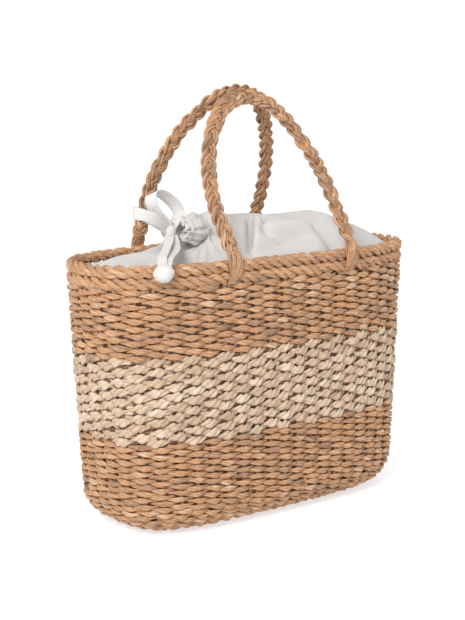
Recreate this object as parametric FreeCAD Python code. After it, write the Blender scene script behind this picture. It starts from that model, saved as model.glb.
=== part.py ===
import FreeCAD, Part
import math
import os

from FreeCAD import Vector

# Woven market basket with two braided carrying handles and a cotton drawstring liner.
# Millimetres. Origin at the centre of the underside, +X along the basket, +Z up.

# ---- driving dimensions ----
RIM_Z = 278.0                 # top of the rim border
RIM_HALF_LENGTH = 210.0
RIM_HALF_WIDTH = 83.5
BASE_HALF_LENGTH = 183.0      # the wall's line carried down to the floor, before the corner
BASE_HALF_WIDTH = 85.7
RIM_SQUARENESS = 2.81         # superellipse exponent: 2 is an ellipse, more is squarer
BASE_SQUARENESS = 3.67
CORNER_RADIUS = 36.0          # the wall turns under into the base
WALL = 11.0                   # weavers outside and inside the stakes
LINER_GAP = 0.4               # clearance between the liner and the weave

BASE_TOP_Z = 9.0              # the base and the foot row are one row thick
FOOT_ROW_LEVELS = (0.0, 3.0, BASE_TOP_Z)
CORNER_LEVELS = (14.0, 20.0, 27.0, CORNER_RADIUS)
PALE_BAND_Z = 98.5            # bottom of the pale band
UPPER_BAND_Z = 185.0          # bottom of the upper brown band
BORDER_Z = 254.0              # bottom of the two border rows
BORDER_SPLIT_Z = 266.0

STAKE_COUNT = 50
STAKE_DIAMETER = 3.8
STAKE_BOTTOM_Z = 30.0
STAKE_TOP_Z = 262.0

HANDLE_HALF_SPAN = 79.5       # foot centre to the middle of the basket
HANDLE_HEIGHT = 178.0         # along the leaning plane, from the hinge to the top's centre
HANDLE_TOP_RADIUS = 52.0
HANDLE_SHOULDER_TURN = 40.0   # degrees that each shoulder turns before the top
HANDLE_STRAND = 6.2
FRONT_TOP_GAP = 2.5           # from the middle plane to each top's centre line
BACK_TOP_GAP = 12.0
HANDLE_START = 3.0            # the braid begins this far above its hinge
HINGE_RISE = 2.0              # hinge line above the rim top
# Three strands lie side by side, with the middle one proud on the outer face.
STRAND_SIDES = (-4.4, 0.0, 4.4)
STRAND_RISES = (-2.0, 2.8, -2.0)

FOOT_STRAND = 5.0
FOOT_SPACING = 5.2
FOOT_BOTTOM_Z = 255.0
FOOT_GAP = 0.2

LINER_CLOTH = 1.2
CROWN_CLOTH = 2.0
CROWN_Z = 262.0               # the liner's crown is sewn on here
# Outer sections of the gathered crown: height, half length, half width, squareness, shift in X.
CROWN_SECTIONS = (
    (278.0, 196.0, 71.5, 2.80, 0.0),
    (290.0, 172.0, 60.0, 2.40, 6.0),
    (302.0, 140.0, 45.0, 2.20, 8.0),
    (311.0, 100.0, 26.0, 2.10, 14.0),
    (315.0, 62.0, 12.0, 2.00, 20.0),
)
MOUTH = Vector(-96.0, -20.0, 0.0)    # centre line of the gathered mouth
MOUTH_RADIUS = 8.0
FRILL_RADIUS = 15.0
FRILL_BOTTOM_Z = 290.0
FRILL_TOP_Z = 318.0
CINCH_Z = 311.0

TAPE_WIDTH = 9.5
TAPE_THICKNESS = 1.1
# A round tube with the flat tape's own section area.
TAPE_TUBE = 2.0 * math.sqrt(TAPE_WIDTH * TAPE_THICKNESS / math.pi)
BOW_KNOT = Vector(-123.0, -31.0, 306.5)
BOW_KNOT_RADIUS = 6.9
END_KNOT = Vector(-164.0, -79.0, 273.0)
END_KNOT_RADIUS = 9.5
ARC_SHARE = 0.45              # of the shorter run, taken up by each arc

UPPER_LOOP = (
    (-123, -33, 311), (-138, -36, 321), (-148, -37, 334), (-148, -35, 344), (-137, -31, 347),
    (-121, -27, 340), (-109, -26, 330), (-106, -27, 322), (-113, -29, 316), (-119, -30, 310),
)
SIDE_LOOP = (
    (-127, -34, 309), (-137, -40, 315), (-149, -45, 321), (-162, -44, 326), (-168, -35, 327),
    (-162, -26, 327), (-148, -23, 324), (-135, -25, 317), (-126, -28, 311),
)
FIRST_TAIL = (
    (-124, -34, 303), (-131, -43, 298), (-143, -54, 292), (-154, -64, 288.5), (-162, -73, 285),
    (-165, -79, 279),
)
SECOND_TAIL = (
    (-120, -33, 302.5), (-121, -40, 296), (-129, -51, 290), (-141, -62, 287), (-153, -71, 285),
    (-160, -78, 280),
)
OUTLINE_POINTS = 48


# ---- the wall's shape ----
def corner_inset(z):
    """How far the rounded corner draws the wall in at this height."""
    if z >= CORNER_RADIUS:
        return 0.0
    return CORNER_RADIUS - math.sqrt(CORNER_RADIUS ** 2 - (CORNER_RADIUS - z) ** 2)


def wall_size(z):
    """Outer half length, half width and squareness of the wall at this height."""
    share = z / RIM_Z
    inset = corner_inset(z)
    half_length = BASE_HALF_LENGTH + (RIM_HALF_LENGTH - BASE_HALF_LENGTH) * share - inset
    half_width = BASE_HALF_WIDTH + (RIM_HALF_WIDTH - BASE_HALF_WIDTH) * share - inset
    squareness = BASE_SQUARENESS + (RIM_SQUARENESS - BASE_SQUARENESS) * share
    return half_length, half_width, squareness


def oval_point(half_length, half_width, squareness, angle, z, shift=0.0):
    """A point of a superellipse, at an angle as on an ellipse."""
    c = math.cos(angle)
    s = math.sin(angle)
    reach = (abs(c) ** squareness + abs(s) ** squareness) ** (-1.0 / squareness)
    return Vector(shift + half_length * reach * c, half_width * reach * s, z)


def oval_wire(half_length, half_width, squareness, z, shift=0.0):
    points = []
    for i in range(OUTLINE_POINTS):
        angle = 2.0 * math.pi * i / OUTLINE_POINTS
        points.append(oval_point(half_length, half_width, squareness, angle, z, shift))
    curve = Part.BSplineCurve()
    curve.interpolate(points, True)
    return Part.Wire(curve.toShape())


def wall_wire(z, inset):
    half_length, half_width, squareness = wall_size(z)
    return oval_wire(half_length - inset, half_width - inset, squareness, z)


def wall_loft(levels, inset):
    """A solid that fills the wall's outline, drawn in by inset, through these heights."""
    return Part.makeLoft([wall_wire(z, inset) for z in levels], True, True)


def wall_ring(levels, inset=0.0, thickness=WALL):
    return wall_loft(levels, inset).cut(wall_loft(levels, inset + thickness))


def wall_y(x, z):
    """Half width of the wall's outer face at this X and height."""
    half_length, half_width, squareness = wall_size(z)
    return half_width * (1.0 - (abs(x) / half_length) ** squareness) ** (1.0 / squareness)


# ---- woven body ----
def base_weave():
    return Part.makeLoft([wall_wire(0.0, WALL), wall_wire(BASE_TOP_Z, WALL)], True, True)


def foot_row():
    return wall_loft(FOOT_ROW_LEVELS, 0.0).cut(base_weave())


def stakes():
    """Upright stakes in the middle of the wall, spaced evenly round the oval."""
    bottoms = wall_wire(STAKE_BOTTOM_Z, WALL / 2.0).discretize(STAKE_COUNT + 1)
    tops = wall_wire(STAKE_TOP_Z, WALL / 2.0).discretize(STAKE_COUNT + 1)
    solids = []
    for bottom, top in list(zip(bottoms, tops))[:STAKE_COUNT]:
        run = top - bottom
        solids.append(Part.makeCylinder(STAKE_DIAMETER / 2.0, run.Length, bottom, run))
    return solids


# ---- handles ----
def lean_angle(side):
    """Lean from upright towards the middle; side is -1 for the front handle and 1 for the back."""
    top_gap = FRONT_TOP_GAP if side < 0 else BACK_TOP_GAP
    return math.asin((hinge_y() - top_gap) / HANDLE_HEIGHT)


def hinge_y():
    """Distance of each hinge line from the middle plane: the centre of the foot strands."""
    return wall_y(HANDLE_HALF_SPAN, RIM_Z) + FOOT_GAP + FOOT_STRAND / 2.0


def arch_point(across, up, rise, side):
    """A point of a handle: across along X, up in its leaning plane, rise out of its outer face."""
    lean = lean_angle(side)
    y = -hinge_y() + up * math.sin(lean) - rise * math.cos(lean)
    z = RIM_Z + HINGE_RISE + up * math.cos(lean) + rise * math.sin(lean)
    return Vector(across, -side * y, z)


def arch_wire(offset, rise, side):
    """Centre line of one strand: legs, shoulders and top, as tangent lines and arcs."""
    turn = math.radians(HANDLE_SHOULDER_TURN)
    top = HANDLE_TOP_RADIUS
    shoulder = (HANDLE_HALF_SPAN - top * math.cos(turn)) / (1.0 - math.cos(turn))
    leg = HANDLE_HEIGHT - shoulder * math.sin(turn) - top * (1.0 - math.sin(turn))
    shoulder_x = HANDLE_HALF_SPAN - shoulder
    top_up = HANDLE_HEIGHT - top

    def at(radius, centre_x, centre_up, angle, mirror):
        across = centre_x + (radius + offset) * math.cos(angle)
        up = centre_up + (radius + offset) * math.sin(angle)
        return arch_point(mirror * across, up, rise, side)

    edges = []
    for mirror in (-1, 1):
        foot = arch_point(mirror * (HANDLE_HALF_SPAN + offset), HANDLE_START, rise, side)
        hip = at(shoulder, shoulder_x, leg, 0.0, mirror)
        bend = at(shoulder, shoulder_x, leg, turn / 2.0, mirror)
        crown = at(shoulder, shoulder_x, leg, turn, mirror)
        edges.append(Part.LineSegment(foot, hip).toShape())
        edges.append(Part.Arc(hip, bend, crown).toShape())
    left = at(top, 0.0, top_up, turn, -1)
    apex = at(top, 0.0, top_up, math.pi / 2.0, 1)
    right = at(top, 0.0, top_up, turn, 1)
    edges.append(Part.Arc(left, apex, right).toShape())
    return Part.Wire(Part.__sortEdges__(edges))


def tube_along(wire, diameter):
    """A round tube along a wire of tangent edges."""
    start = wire.OrderedVertexes[0].Point
    first = wire.OrderedEdges[0]
    near_start = first.valueAt(first.FirstParameter).distanceToPoint(start) < 1e-6
    parameter = first.FirstParameter if near_start else first.LastParameter
    direction = first.tangentAt(parameter)
    section = Part.Wire(Part.makeCircle(diameter / 2.0, start, direction))
    return wire.makePipeShell([section], True, False)


def foot_strands(x_side, side):
    """Three straight strands that carry a handle's end down over the border and into the weave."""
    solids = []
    for i in (-1, 0, 1):
        x = x_side * HANDLE_HALF_SPAN + i * FOOT_SPACING
        bottom = Vector(x, side * (wall_y(x, FOOT_BOTTOM_Z) + FOOT_GAP + FOOT_STRAND / 2.0), FOOT_BOTTOM_Z)
        top = Vector(x, side * (wall_y(x, RIM_Z) + FOOT_GAP + FOOT_STRAND / 2.0), RIM_Z)
        run = top - bottom
        solids.append(Part.makeCylinder(FOOT_STRAND / 2.0, run.Length, bottom, run))
    return solids


# ---- liner ----
def liner_bag():
    bottom = BASE_TOP_Z + LINER_GAP
    outer = wall_loft((bottom,) + CORNER_LEVELS + (CROWN_Z,), WALL + LINER_GAP)
    inner_levels = (bottom + LINER_CLOTH,) + CORNER_LEVELS + (CROWN_Z,)
    return outer.cut(wall_loft(inner_levels, WALL + LINER_GAP + LINER_CLOTH))


def crown_solid(inset):
    """The crown's dome, filled, with its cloth face drawn in by inset."""
    half_length, half_width, squareness = wall_size(CROWN_Z)
    edge = WALL + LINER_GAP + inset
    wires = [oval_wire(half_length - edge, half_width - edge, squareness, CROWN_Z)]
    for z, half_length, half_width, squareness, shift in CROWN_SECTIONS:
        wires.append(oval_wire(half_length - inset, half_width - inset, squareness, z - inset, shift))
    return Part.makeLoft(wires, True, True)


def mouth_hole():
    return Part.makeCylinder(MOUTH_RADIUS, FRILL_TOP_Z - CROWN_Z, MOUTH + Vector(0, 0, CROWN_Z))


def liner_crown():
    return crown_solid(0.0).cut(crown_solid(CROWN_CLOTH)).cut(mouth_hole())


def liner_frill():
    """The gathered hem that stands round the mouth, on the crown."""
    height = FRILL_TOP_Z - FRILL_BOTTOM_Z
    stand = Part.makeCylinder(FRILL_RADIUS, height, MOUTH + Vector(0, 0, FRILL_BOTTOM_Z))
    return stand.cut(crown_solid(0.0)).cut(mouth_hole())


# ---- drawstring ----
def rounded_route(points):
    """Straight runs joined by tangent arcs, with each arc as large as its two runs allow."""
    corners = [Vector(*p) for p in points]
    edges = []
    radii = []
    start = corners[0]
    for i in range(1, len(corners) - 1):
        into = corners[i] - corners[i - 1]
        out = corners[i + 1] - corners[i]
        reach = ARC_SHARE * min(into.Length, out.Length)
        half_turn = into.getAngle(out) / 2.0
        radii.append(reach / math.tan(half_turn))
        into.normalize()
        out.normalize()
        first = corners[i] - into * reach
        last = corners[i] + out * reach
        toward = (out - into).normalize()
        sagitta = radii[-1] / math.cos(half_turn) - radii[-1]
        edges.append(Part.LineSegment(start, first).toShape())
        edges.append(Part.Arc(first, corners[i] + toward * sagitta, last).toShape())
        start = last
    edges.append(Part.LineSegment(start, corners[-1]).toShape())
    return Part.Wire(edges), radii


def tape_tube(name, points, knots):
    """One free length of the drawstring as a plain tube, ending at the knots' faces."""
    wire, radii = rounded_route(points)
    tube = tube_along(wire, TAPE_TUBE)
    expected = math.pi * TAPE_TUBE ** 2 / 4.0 * wire.Length
    print(name, "length", round(wire.Length, 1), "volume share", round(tube.Volume / expected, 4),
          "radii", [round(r, 1) for r in radii])
    for knot in knots:
        tube = tube.cut(knot)
    return tube


# ---- all the pieces ----
def build():
    bands = {
        "lower_weave": wall_ring((BASE_TOP_Z,) + CORNER_LEVELS + (PALE_BAND_Z,)),
        "middle_weave": wall_ring((PALE_BAND_Z, UPPER_BAND_Z)),
        "upper_weave": wall_ring((UPPER_BAND_Z, BORDER_Z)),
        "rim_border_lower": wall_ring((BORDER_Z, BORDER_SPLIT_Z)),
        "rim_border_upper": wall_ring((BORDER_SPLIT_Z, RIM_Z)),
    }
    rods = stakes()
    channels = Part.makeCompound(rods)
    nodes = {"base_weave": base_weave(), "foot_row": foot_row()}
    for name, band in bands.items():
        nodes[name] = band if name == "rim_border_upper" else band.cut(channels)
    nodes["side_stakes"] = Part.makeCompound(rods)

    for handle, side in (("front", -1), ("back", 1)):
        for i in range(3):
            wire = arch_wire(STRAND_SIDES[i], STRAND_RISES[i], side)
            nodes["%s_handle_strand_%d" % (handle, i + 1)] = tube_along(wire, HANDLE_STRAND)
        for end, x_side in (("left", -1), ("right", 1)):
            nodes["%s_%s_foot" % (handle, end)] = Part.makeCompound(foot_strands(x_side, side))

    nodes["liner_bag"] = liner_bag()
    nodes["liner_crown"] = liner_crown()
    nodes["liner_frill"] = liner_frill()

    bow_knot = Part.makeSphere(BOW_KNOT_RADIUS, BOW_KNOT)
    end_knot = Part.makeSphere(END_KNOT_RADIUS, END_KNOT)
    cinch = TAPE_TUBE / 2.0
    nodes["drawstring_cinch"] = Part.makeTorus(FRILL_RADIUS + cinch, cinch, MOUTH + Vector(0, 0, CINCH_Z))
    nodes["drawstring_bow_knot"] = bow_knot
    nodes["drawstring_end_knot"] = end_knot
    nodes["drawstring_upper_loop"] = tape_tube("upper loop", UPPER_LOOP, [bow_knot])
    nodes["drawstring_side_loop"] = tape_tube("side loop", SIDE_LOOP, [bow_knot])
    nodes["drawstring_first_tail"] = tape_tube("first tail", FIRST_TAIL, [bow_knot, end_knot])
    nodes["drawstring_second_tail"] = tape_tube("second tail", SECOND_TAIL, [bow_knot, end_knot])
    return nodes


os.makedirs("parts", exist_ok=True)
for node_name, shape in build().items():
    shape.exportStep("parts/%s.step" % node_name)
    print(node_name, len(shape.Solids), "solid", round(shape.Volume / 1000.0, 2), "cm3", shape.isValid())
leans = [round(math.degrees(lean_angle(side)), 2) for side in (-1, 1)]
print("leans", leans, "hinge y", round(hinge_y(), 2), "z", RIM_Z + HINGE_RISE)
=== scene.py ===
import math

import bpy
import numpy as np
from mathutils import Matrix, Quaternion, Vector


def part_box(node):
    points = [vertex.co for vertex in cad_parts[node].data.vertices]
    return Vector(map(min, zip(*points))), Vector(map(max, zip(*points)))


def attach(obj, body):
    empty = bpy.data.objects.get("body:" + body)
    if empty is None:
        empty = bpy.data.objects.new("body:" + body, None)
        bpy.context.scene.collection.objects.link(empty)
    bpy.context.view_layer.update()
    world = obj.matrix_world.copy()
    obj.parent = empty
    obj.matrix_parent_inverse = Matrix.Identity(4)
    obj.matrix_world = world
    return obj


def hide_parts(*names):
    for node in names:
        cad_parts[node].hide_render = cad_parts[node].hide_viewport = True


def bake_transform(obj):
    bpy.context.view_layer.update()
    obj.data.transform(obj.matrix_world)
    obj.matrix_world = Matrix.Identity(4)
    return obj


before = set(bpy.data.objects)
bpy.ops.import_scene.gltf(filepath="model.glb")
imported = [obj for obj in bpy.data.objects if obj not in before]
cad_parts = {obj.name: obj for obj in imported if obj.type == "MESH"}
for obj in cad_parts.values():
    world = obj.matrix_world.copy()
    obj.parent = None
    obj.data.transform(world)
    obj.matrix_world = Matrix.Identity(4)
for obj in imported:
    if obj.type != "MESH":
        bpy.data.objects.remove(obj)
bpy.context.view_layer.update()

# Metres, in the frame of the CAD model: +X along the basket, +Z up, centre of the underside at 0.

# ---- sizes taken from the frame ----
RIM_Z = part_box("rim_border_upper")[1].z
RIM_HALF_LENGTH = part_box("rim_border_upper")[1].x
BORDER_SPLIT_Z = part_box("rim_border_upper")[0].z
BORDER_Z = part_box("rim_border_lower")[0].z
UPPER_BAND_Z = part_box("upper_weave")[0].z
PALE_BAND_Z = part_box("middle_weave")[0].z
FOOT_ROW_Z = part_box("foot_row")[1].z
LINER_TOP_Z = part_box("liner_bag")[1].z
FOOT_BOTTOM_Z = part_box("front_left_foot")[0].z

# ---- driving sizes of the looks ----
RIM_HALF_WIDTH = 0.0835
BASE_HALF_LENGTH = 0.183      # the wall's line carried down to the floor
BASE_HALF_WIDTH = 0.0857
RIM_SQUARENESS = 2.81         # superellipse exponents
BASE_SQUARENESS = 3.67
CORNER_RADIUS = 0.036
WALL = 0.011
STAKES = 50                   # each weaver passes one stake outside and the next one inside

UPPER_ROWS = 19
PALE_ROWS = 17
LOWER_ROWS = 27
FOOT_ROWS = 7
BASE_ROWS = 13
BASE_REACH = 0.046            # how far the base's rows run in from the corner
BASE_ROWS_PER_PIECE = 15
FOOT_ROWS_PER_PIECE = 12
WALL_ROWS_PER_PIECE = 7

FLOAT_OFFSET = 0.0031         # how far a float swings out of, or into, the wall
FLOAT_HALF_DEPTH = 0.0019
# a thin strip behind the floats in the darkest tone: painted shade in the gaps between them
SHADE_CORE_HALF_DEPTH = 0.0005
SHADE_CORE_INSET = 0.0008
TIP_FILL = 0.92               # a float's half height at its tip, and what it gains by its middle

BORDER_TURNS = 26             # turns of the rope lay in one round of the rim
BORDER_STRANDS = 3
BORDER_STEPS = 800
BORDER_FILL = 1.12            # the border rows press into each other a little

HINGE_Y = 0.08422
HINGE_Z = 0.280
HANDLE_HALF_SPAN = 0.0795
HANDLE_HEIGHT = 0.178
HANDLE_TOP_RADIUS = 0.052
HANDLE_SHOULDER_TURN = math.radians(40.0)
FRONT_TOP_GAP = 0.0025        # from the middle plane to each top's centre line
BACK_TOP_GAP = 0.012
HANDLE_STEPS = 430
HANDLE_SWAY = (-0.0095, 0.0)  # how far the front and the back handle lean along X at half height
HANDLE_BELLY = 0.005          # how far both bow outwards there
BRAID_PERIOD = 0.040
BRAID_HALF_WIDTH = 0.0048
BRAID_HALF_DEPTH = 0.0023
STRAND_HALF_WIDTH = 0.0031
STRAND_HALF_DEPTH = 0.0012
# a dark tube inside each strand: painted shade between its strips
STRAND_SHADE_CORE_HALF_WIDTH = 0.0034
STRAND_SHADE_CORE_HALF_DEPTH = 0.0013
STRIPS_PER_STRAND = 5
STRIP_HALF_WIDTH = 0.0015
STRIP_HALF_DEPTH = 0.0012
STRIP_TWIST_LENGTH = 0.090
FIBRES_PER_STRAND = 9
FIBRE_HALF_WIDTH = 0.00042
FOOT_STRAND_PITCH = 0.0050    # between a foot's three strands, side by side

LOOP_WIDTH = 0.0120
TAIL_WIDTH = 0.0100
TAPE_THICKNESS = 0.0012
CLOTH_THICKNESS = 0.0008

random = np.random.default_rng(24)


# ---- meshes ----
class Mesh:
    """Points, faces, fibre coordinates and tones, gathered from many strands into one piece."""

    def __init__(self):
        self.points = []
        self.faces = []
        self.coordinates = []
        self.tones = []
        self.count = 0

    def grid(self, points, along, tones, wrap_rows, wrap_columns, caps=False):
        """Adds a grid of points, rows by columns.

        along and the column's share of the width are its fibre coordinates.
        """
        rows, columns = points.shape[:2]
        index = np.arange(rows * columns).reshape(rows, columns) + self.count
        if wrap_rows:
            index = np.vstack([index, index[:1]])
        if wrap_columns:
            index = np.hstack([index, index[:, :1]])
        quads = np.stack([index[:-1, :-1], index[:-1, 1:], index[1:, 1:], index[1:, :-1]], axis=-1)
        self.points.append(points.reshape(-1, 3))
        self.faces.append(quads.reshape(-1, 4))
        across = np.linspace(0.0, 1.0, columns)
        self.coordinates.append(np.stack([
            np.repeat(along, columns), np.tile(across, rows)], axis=-1))
        self.tones.append(np.repeat(tones, columns))
        self.count += rows * columns
        if caps:
            self.cap(points[0], along[0], tones[0], index[0][:columns], False)
            self.cap(points[-1], along[-1], tones[-1], index[-1][:columns], True)

    def cap(self, ring, along, tone, index, at_end):
        """Closes a tube's end with a fan of four-cornered faces round its centre."""
        self.points.append(ring.mean(axis=0)[None])
        self.coordinates.append(np.array([[along, 0.5]]))
        self.tones.append(np.array([tone]))
        centre = self.count
        self.count += 1
        for i in range(0, len(index), 2):
            a = index[i]
            b = index[(i + 1) % len(index)]
            c = index[(i + 2) % len(index)]
            quad = [a, b, c, centre] if at_end else [c, b, a, centre]
            self.faces.append(np.array([quad]))

    def piece(self, name, material):
        points = np.concatenate(self.points)
        faces = np.concatenate(self.faces)
        mesh = bpy.data.meshes.new(name)
        mesh.vertices.add(len(points))
        mesh.vertices.foreach_set("co", points.astype(np.float32).ravel())
        mesh.loops.add(faces.size)
        mesh.loops.foreach_set("vertex_index", faces.astype(np.int32).ravel())
        mesh.polygons.add(len(faces))
        mesh.polygons.foreach_set("loop_start", np.arange(0, faces.size, 4, dtype=np.int32))
        mesh.update(calc_edges=True)
        uv = mesh.uv_layers.new(name="fibre")
        coordinates = np.concatenate(self.coordinates)[faces.ravel()]
        uv.data.foreach_set("uv", coordinates.astype(np.float32).ravel())
        tone = mesh.attributes.new("tone", "FLOAT", "POINT")
        tone.data.foreach_set("value", np.concatenate(self.tones).astype(np.float32))
        mesh.polygons.foreach_set("use_smooth", np.ones(len(faces), dtype=bool))
        mesh.materials.append(material)
        mesh.validate()
        made = bpy.data.objects.new(name, mesh)
        bpy.context.scene.collection.objects.link(made)
        return made


def unit(vectors):
    return vectors / np.maximum(np.linalg.norm(vectors, axis=-1, keepdims=True), 1e-12)


def smooth_step(share):
    share = np.clip(share, 0.0, 1.0)
    return share * share * (3.0 - 2.0 * share)


def smooth_noise(count, knots, wrap):
    """Smooth random values of about -1 to 1, with that many knots along the count."""
    values = random.uniform(-1.0, 1.0, knots)
    ends = np.append(values, values[0] if wrap else random.uniform(-1.0, 1.0))
    places = np.linspace(0.0, knots, count, endpoint=not wrap)
    first = np.minimum(places.astype(int), knots - 1)
    share = smooth_step(places - first)
    return ends[first] * (1.0 - share) + ends[first + 1] * share


def tube(mesh, centres, out, up, depth, height, along, tones, corners, closed):
    """Adds a strand: an oval swept along centres, its half sizes depth along out, height along up."""
    angles = 2.0 * math.pi * np.arange(corners) / corners
    c = np.cos(angles)
    s = np.sin(angles)
    ring = (
        centres[:, None]
        + out[:, None] * (depth[:, None] * c)[..., None]
        + up[:, None] * (height[:, None] * s)[..., None]
    )
    mesh.grid(ring, along, tones, closed, True, caps=not closed)


# ---- materials ----
def node_of(tree, kind, **settings):
    node = tree.nodes.new(kind)
    for name, value in settings.items():
        if name in node.inputs:
            node.inputs[name].default_value = value
        else:
            setattr(node, name, value)
    return node


def ramp_of(tree, source, stops):
    ramp = node_of(tree, "ShaderNodeValToRGB")
    while len(ramp.color_ramp.elements) < len(stops):
        ramp.color_ramp.elements.new(0.5)
    for element, (place, color) in zip(ramp.color_ramp.elements, stops):
        element.position = place
        element.color = (*color, 1.0) if hasattr(color, "__len__") else (color, color, color, 1.0)
    tree.links.new(source, ramp.inputs["Fac"])
    return ramp.outputs["Color"]


def mix_of(tree, kind, share, first, second):
    mix = node_of(tree, "ShaderNodeMix", data_type="RGBA", blend_type=kind)
    if isinstance(share, float):
        mix.inputs[0].default_value = share
    else:
        tree.links.new(share, mix.inputs[0])
    for socket, value in ((mix.inputs[6], first), (mix.inputs[7], second)):
        if isinstance(value, tuple):
            socket.default_value = (*value, 1.0)
        else:
            tree.links.new(value, socket)
    return mix.outputs[2]


def fibre_noise(tree, along, across, detail):
    """Noise drawn out along the strand, from its fibre coordinates and its tone."""
    coordinates = node_of(tree, "ShaderNodeUVMap", uv_map="fibre")
    tone = node_of(tree, "ShaderNodeAttribute", attribute_name="tone")
    split = node_of(tree, "ShaderNodeSeparateXYZ")
    tree.links.new(coordinates.outputs["UV"], split.inputs[0])
    wide = node_of(tree, "ShaderNodeMath", operation="MULTIPLY")
    wide.inputs[1].default_value = across
    tree.links.new(split.outputs["Y"], wide.inputs[0])
    long = node_of(tree, "ShaderNodeMath", operation="MULTIPLY")
    long.inputs[1].default_value = along
    tree.links.new(split.outputs["X"], long.inputs[0])
    deep = node_of(tree, "ShaderNodeMath", operation="MULTIPLY")
    deep.inputs[1].default_value = 37.0
    tree.links.new(tone.outputs["Fac"], deep.inputs[0])
    place = node_of(tree, "ShaderNodeCombineXYZ")
    tree.links.new(long.outputs[0], place.inputs["X"])
    tree.links.new(wide.outputs[0], place.inputs["Y"])
    tree.links.new(deep.outputs[0], place.inputs["Z"])
    noise = node_of(tree, "ShaderNodeTexNoise", Scale=1.0, Detail=detail, Roughness=0.6)
    tree.links.new(place.outputs[0], noise.inputs["Vector"])
    return noise.outputs["Fac"]


FLECK_COLOR = (0.16, 0.085, 0.04)


def leaf_material(name, stops, fibre_dark, rough):
    """Dried leaf: a colour per float, drawn-out fibres, darker flecks and a fine ribbed surface."""
    material = bpy.data.materials.new(name)
    material.use_nodes = True
    tree = material.node_tree
    shader = tree.nodes["Principled BSDF"]
    tone = node_of(tree, "ShaderNodeAttribute", attribute_name="tone")
    base = ramp_of(tree, tone.outputs["Fac"], stops)
    fibres = fibre_noise(tree, 120.0, 9.0, 5.0)
    fibre_tint = ramp_of(tree, fibres, ((0.32, fibre_dark), (0.5, 0.9), (0.66, 1.06)))
    tinted = mix_of(tree, "MULTIPLY", 1.0, base, fibre_tint)
    patches = fibre_noise(tree, 55.0, 1.6, 3.0)
    patch_tint = ramp_of(tree, patches, ((0.3, (0.86, 0.84, 0.84)), (0.7, (1.1, 1.04, 0.98))))
    patched = mix_of(tree, "MULTIPLY", 1.0, tinted, patch_tint)
    flecks = fibre_noise(tree, 260.0, 6.0, 2.0)
    fleck_share = ramp_of(tree, flecks, ((0.66, 0.0), (0.78, 0.55)))
    final = mix_of(tree, "MIX", fleck_share, patched, FLECK_COLOR)
    tree.links.new(final, shader.inputs["Base Color"])
    gloss = ramp_of(tree, fibres, ((0.3, rough + 0.12), (0.75, rough - 0.1)))
    tree.links.new(gloss, shader.inputs["Roughness"])
    shader.inputs["Specular IOR Level"].default_value = 0.35
    ribs = fibre_noise(tree, 60.0, 16.0, 4.0)
    bump = node_of(tree, "ShaderNodeBump", Strength=0.55, Distance=0.0006)
    tree.links.new(ribs, bump.inputs["Height"])
    tree.links.new(bump.outputs["Normal"], shader.inputs["Normal"])
    return material


def cloth_material(name, color, thread, crumple):
    """Plain-woven cotton: crossed threads, a soft crumple and slightly uneven whiteness."""
    material = bpy.data.materials.new(name)
    material.use_nodes = True
    tree = material.node_tree
    shader = tree.nodes["Principled BSDF"]
    place = node_of(tree, "ShaderNodeTexCoord").outputs["Object"]
    patches = node_of(tree, "ShaderNodeTexNoise", Scale=26.0, Detail=4.0)
    tree.links.new(place, patches.inputs["Vector"])
    low = tuple(v * 0.93 for v in color)
    base = ramp_of(tree, patches.outputs["Fac"], ((0.35, low), (0.65, color)))
    weave = None
    for direction in ("X", "Y", "Z"):
        wave = node_of(
            tree, "ShaderNodeTexWave", wave_type="BANDS", bands_direction=direction,
            Scale=thread, Distortion=0.6, Detail=1.0)
        tree.links.new(place, wave.inputs["Vector"])
        threads = wave.outputs["Fac"]
        weave = threads if weave is None else mix_of(tree, "MULTIPLY", 0.5, weave, threads)
    thread_tint = ramp_of(tree, weave, ((0.0, 0.94), (1.0, 1.0)))
    final = mix_of(tree, "MULTIPLY", 1.0, base, thread_tint)
    tree.links.new(final, shader.inputs["Base Color"])
    rough = ramp_of(tree, patches.outputs["Fac"], ((0.3, 0.95), (0.7, 0.85)))
    tree.links.new(rough, shader.inputs["Roughness"])
    shader.inputs["Specular IOR Level"].default_value = 0.2
    shader.inputs["Sheen Weight"].default_value = 0.15
    shader.inputs["Sheen Roughness"].default_value = 0.5
    creases = node_of(tree, "ShaderNodeTexNoise", Scale=crumple, Detail=3.0, Roughness=0.55)
    tree.links.new(place, creases.inputs["Vector"])
    soft = node_of(tree, "ShaderNodeBump", Strength=0.35, Distance=0.0022)
    tree.links.new(creases.outputs["Fac"], soft.inputs["Height"])
    fine = node_of(tree, "ShaderNodeBump", Strength=0.3, Distance=0.00025)
    tree.links.new(weave, fine.inputs["Height"])
    tree.links.new(soft.outputs["Normal"], fine.inputs["Normal"])
    tree.links.new(fine.outputs["Normal"], shader.inputs["Normal"])
    return material


# The dark end of these ramps also colours the painted shade strips behind the floats (tone 0) and
# inside the handle strands (tone 0.1).
SEAGRASS_STOPS = (
    (0.0, (0.148, 0.078, 0.043)),
    (0.22, (0.396, 0.243, 0.153)),
    (0.5, (0.506, 0.295, 0.166)),
    (0.78, (0.562, 0.325, 0.174)),
    (1.0, (0.644, 0.460, 0.323)),
)
PALE_STOPS = (
    (0.0, (0.209, 0.130, 0.075)),
    (0.22, (0.505, 0.370, 0.261)),
    (0.7, (0.609, 0.475, 0.353)),
    (1.0, (0.696, 0.580, 0.465)),
)
CANE_STOPS = ((0.0, (0.34, 0.22, 0.13)), (1.0, (0.48, 0.33, 0.2)))

seagrass = leaf_material("seagrass", SEAGRASS_STOPS, 0.5, 0.62)
pale_cord = leaf_material("pale_cord", PALE_STOPS, 0.62, 0.66)
cane = leaf_material("stake", CANE_STOPS, 0.7, 0.6)
COTTON_COLOR = (0.60, 0.585, 0.574)
TAPE_COLOR = (0.645, 0.63, 0.62)
cotton = cloth_material("cotton", COTTON_COLOR, 900.0, 70.0)
tape_cotton = cloth_material("tape", TAPE_COLOR, 1100.0, 120.0)


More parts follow.
